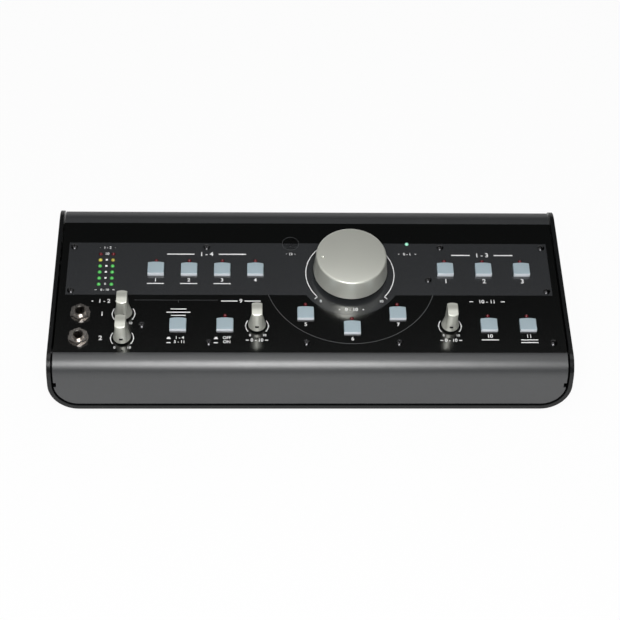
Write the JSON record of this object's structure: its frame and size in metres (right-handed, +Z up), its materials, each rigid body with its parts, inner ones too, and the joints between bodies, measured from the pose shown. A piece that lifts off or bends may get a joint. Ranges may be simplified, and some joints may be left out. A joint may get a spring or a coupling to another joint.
{
  "type": "studio monitor controller",
  "caption": "Desk-top studio monitor controller: sloping metal case, large volume knob, level knobs, push buttons, lamp meter, headphone sockets and a rear connector plate.",
  "frame": {"origin": "centre of the bounding box, on the desk under the feet", "axes": "+X to the right of the user, +Y to the back, +Z up"},
  "size_m": [0.39, 0.1624, 0.0977],
  "materials": {
    "button_plastic": "satin light blue-grey",
    "level_plastic": "satin light grey",
    "black_wrap": "fine textured black powder coat",
    "grey_cover": "satin metallic grey paint with black printed bands",
    "black_plate": "fine textured black powder coat",
    "foot_rubber": "matt black rubber",
    "black_screws": "black oxide",
    "volume_silver": "satin warm silver",
    "shaft_steel": "drawn",
    "pot_steel": "pressed, plated",
    "plated_nuts": "bright nickel",
    "pot_body": "moulded",
    "switch_plastic": "moulded",
    "red_lamps": "clear red epoxy, unlit",
    "green_lamps": "green epoxy, lit",
    "amber_lamps": "amber epoxy, lit",
    "meter_red": "clear red epoxy, unlit",
    "power_green": "green epoxy, lit",
    "capsule_metal": "pressed can",
    "socket_metal": "nickel-plated neck and body",
    "socket_plastic": "moulded black",
    "gold_plate": "gold-plated",
    "phono_core": "moulded red",
    "rocker_plastic": "fine spark-eroded black",
    "circuit_board": "green solder resist",
    "ribbon_grey": "flat cable"
  },
  "bodies": {
    "case": {"base_wrap": "black_wrap", "top_cover": "grey_cover", "rear_panel": "black_plate", "feet": "foot_rubber", "case_screws": "black_screws", "panel_screws": "black_screws", "volume_pot": "pot_steel", "volume_nut": "plated_nuts", "level_pots": "pot_body", "switch_bodies": "switch_plastic", "button_lamps": "red_lamps", "meter_green_lamps": "green_lamps", "meter_amber_lamps": "amber_lamps", "meter_red_lamps": "meter_red", "power_lamp": "power_green", "mic_capsule": "capsule_metal", "mic_boot": "foot_rubber", "phones_jacks": "socket_metal", "phones_washers": "plated_nuts", "phones_nuts": "plated_nuts", "line_jacks": "socket_plastic", "line_nuts": "plated_nuts", "phono_barrels": "gold_plate", "phono_inserts": "phono_core", "earth_post": "plated_nuts", "earth_nut": "plated_nuts", "power_inlet": "socket_plastic", "rocker_frame": "socket_plastic", "phono_switch": "switch_plastic", "main_board": "circuit_board", "rear_board": "circuit_board", "board_spacers": "pot_steel", "board_ribbon": "ribbon_grey"},
    "volume_knob": {"volume_knob": "volume_silver", "volume_shaft": "shaft_steel"},
    "phones_1_knob": {"phones_1_knob": "level_plastic", "phones_1_shaft": "shaft_steel"},
    "phones_2_knob": {"phones_2_knob": "level_plastic", "phones_2_shaft": "shaft_steel"},
    "studio_knob": {"studio_knob": "level_plastic", "studio_shaft": "shaft_steel"},
    "talkback_knob": {"talkback_knob": "level_plastic", "talkback_shaft": "shaft_steel"},
    "source_1_button": {"source_1_button": "button_plastic"},
    "source_2_button": {"source_2_button": "button_plastic"},
    "source_3_button": {"source_3_button": "button_plastic"},
    "source_4_button": {"source_4_button": "button_plastic"},
    "speaker_a_button": {"speaker_a_button": "button_plastic"},
    "speaker_b_button": {"speaker_b_button": "button_plastic"},
    "speaker_c_button": {"speaker_c_button": "button_plastic"},
    "mono_button": {"mono_button": "button_plastic"},
    "mute_button": {"mute_button": "button_plastic"},
    "dim_button": {"dim_button": "button_plastic"},
    "phones_source_button": {"phones_source_button": "button_plastic"},
    "studio_button": {"studio_button": "button_plastic"},
    "talk_tracks_button": {"talk_tracks_button": "button_plastic"},
    "talk_phones_button": {"talk_phones_button": "button_plastic"},
    "power_rocker": {"power_rocker": "rocker_plastic"},
    "phono_button": {"phono_button": "button_plastic"}
  },
  "joints": [
    {"name": "volume_turn", "type": "hinge", "parent": "case", "child": "volume_knob", "pos_m": [0.031, 0.00245, 0.06813], "axis": [0, -0.2924, 0.9563], "range_deg": [-220, 40]},
    {"name": "phones_1_turn", "type": "hinge", "parent": "case", "child": "phones_1_knob", "pos_m": [-0.1405, -0.03475, 0.05676], "axis": [0, -0.2924, 0.9563], "range_deg": [-130, 130]},
    {"name": "phones_2_turn", "type": "hinge", "parent": "case", "child": "phones_2_knob", "pos_m": [-0.1405, -0.05608, 0.05024], "axis": [0, -0.2924, 0.9563], "range_deg": [-130, 130]},
    {"name": "studio_turn", "type": "hinge", "parent": "case", "child": "studio_knob", "pos_m": [-0.0404, -0.04517, 0.05357], "axis": [0, -0.2924, 0.9563], "range_deg": [-130, 130]},
    {"name": "talkback_turn", "type": "hinge", "parent": "case", "child": "talkback_knob", "pos_m": [0.1046, -0.04517, 0.05357], "axis": [0, -0.2924, 0.9563], "range_deg": [-130, 130]},
    {"name": "source_1_press", "type": "slide", "parent": "case", "child": "source_1_button", "axis": [0, -0.2924, 0.9563], "range_m": [-0.002, 0], "stiffness_N_per_m": 400, "springref_m": 0.0005},
    {"name": "source_2_press", "type": "slide", "parent": "case", "child": "source_2_button", "axis": [0, -0.2924, 0.9563], "range_m": [-0.002, 0], "stiffness_N_per_m": 400, "springref_m": 0.0005},
    {"name": "source_3_press", "type": "slide", "parent": "case", "child": "source_3_button", "axis": [0, -0.2924, 0.9563], "range_m": [-0.002, 0], "stiffness_N_per_m": 400, "springref_m": 0.0005},
    {"name": "source_4_press", "type": "slide", "parent": "case", "child": "source_4_button", "axis": [0, -0.2924, 0.9563], "range_m": [-0.002, 0], "stiffness_N_per_m": 400, "springref_m": 0.0005},
    {"name": "speaker_a_press", "type": "slide", "parent": "case", "child": "speaker_a_button", "axis": [0, -0.2924, 0.9563], "range_m": [-0.002, 0], "stiffness_N_per_m": 400, "springref_m": 0.0005},
    {"name": "speaker_b_press", "type": "slide", "parent": "case", "child": "speaker_b_button", "axis": [0, -0.2924, 0.9563], "range_m": [-0.002, 0], "stiffness_N_per_m": 400, "springref_m": 0.0005},
    {"name": "speaker_c_press", "type": "slide", "parent": "case", "child": "speaker_c_button", "axis": [0, -0.2924, 0.9563], "range_m": [-0.002, 0], "stiffness_N_per_m": 400, "springref_m": 0.0005},
    {"name": "mono_press", "type": "slide", "parent": "case", "child": "mono_button", "axis": [0, -0.2924, 0.9563], "range_m": [-0.002, 0], "stiffness_N_per_m": 400, "springref_m": 0.0005},
    {"name": "mute_press", "type": "slide", "parent": "case", "child": "mute_button", "axis": [0, -0.2924, 0.9563], "range_m": [-0.002, 0], "stiffness_N_per_m": 400, "springref_m": 0.0005},
    {"name": "dim_press", "type": "slide", "parent": "case", "child": "dim_button", "axis": [0, -0.2924, 0.9563], "range_m": [-0.002, 0], "stiffness_N_per_m": 400, "springref_m": 0.0005},
    {"name": "phones_source_press", "type": "slide", "parent": "case", "child": "phones_source_button", "axis": [0, -0.2924, 0.9563], "range_m": [-0.002, 0], "stiffness_N_per_m": 400, "springref_m": 0.0005},
    {"name": "studio_press", "type": "slide", "parent": "case", "child": "studio_button", "axis": [0, -0.2924, 0.9563], "range_m": [-0.002, 0], "stiffness_N_per_m": 400, "springref_m": 0.0005},
    {"name": "talk_tracks_press", "type": "slide", "parent": "case", "child": "talk_tracks_button", "axis": [0, -0.2924, 0.9563], "range_m": [-0.002, 0], "stiffness_N_per_m": 400, "springref_m": 0.0005},
    {"name": "talk_phones_press", "type": "slide", "parent": "case", "child": "talk_phones_button", "axis": [0, -0.2924, 0.9563], "range_m": [-0.002, 0], "stiffness_N_per_m": 400, "springref_m": 0.0005},
    {"name": "power_rock", "type": "hinge", "parent": "case", "child": "power_rocker", "pos_m": [0.16, 0.06921, 0.034], "axis": [1, 0, 0], "range_deg": [-20, 0]},
    {"name": "phono_press", "type": "slide", "parent": "case", "child": "phono_button", "axis": [0, -1, 0], "range_m": [0, 0.002], "stiffness_N_per_m": 400, "springref_m": -0.0005}
  ]
}
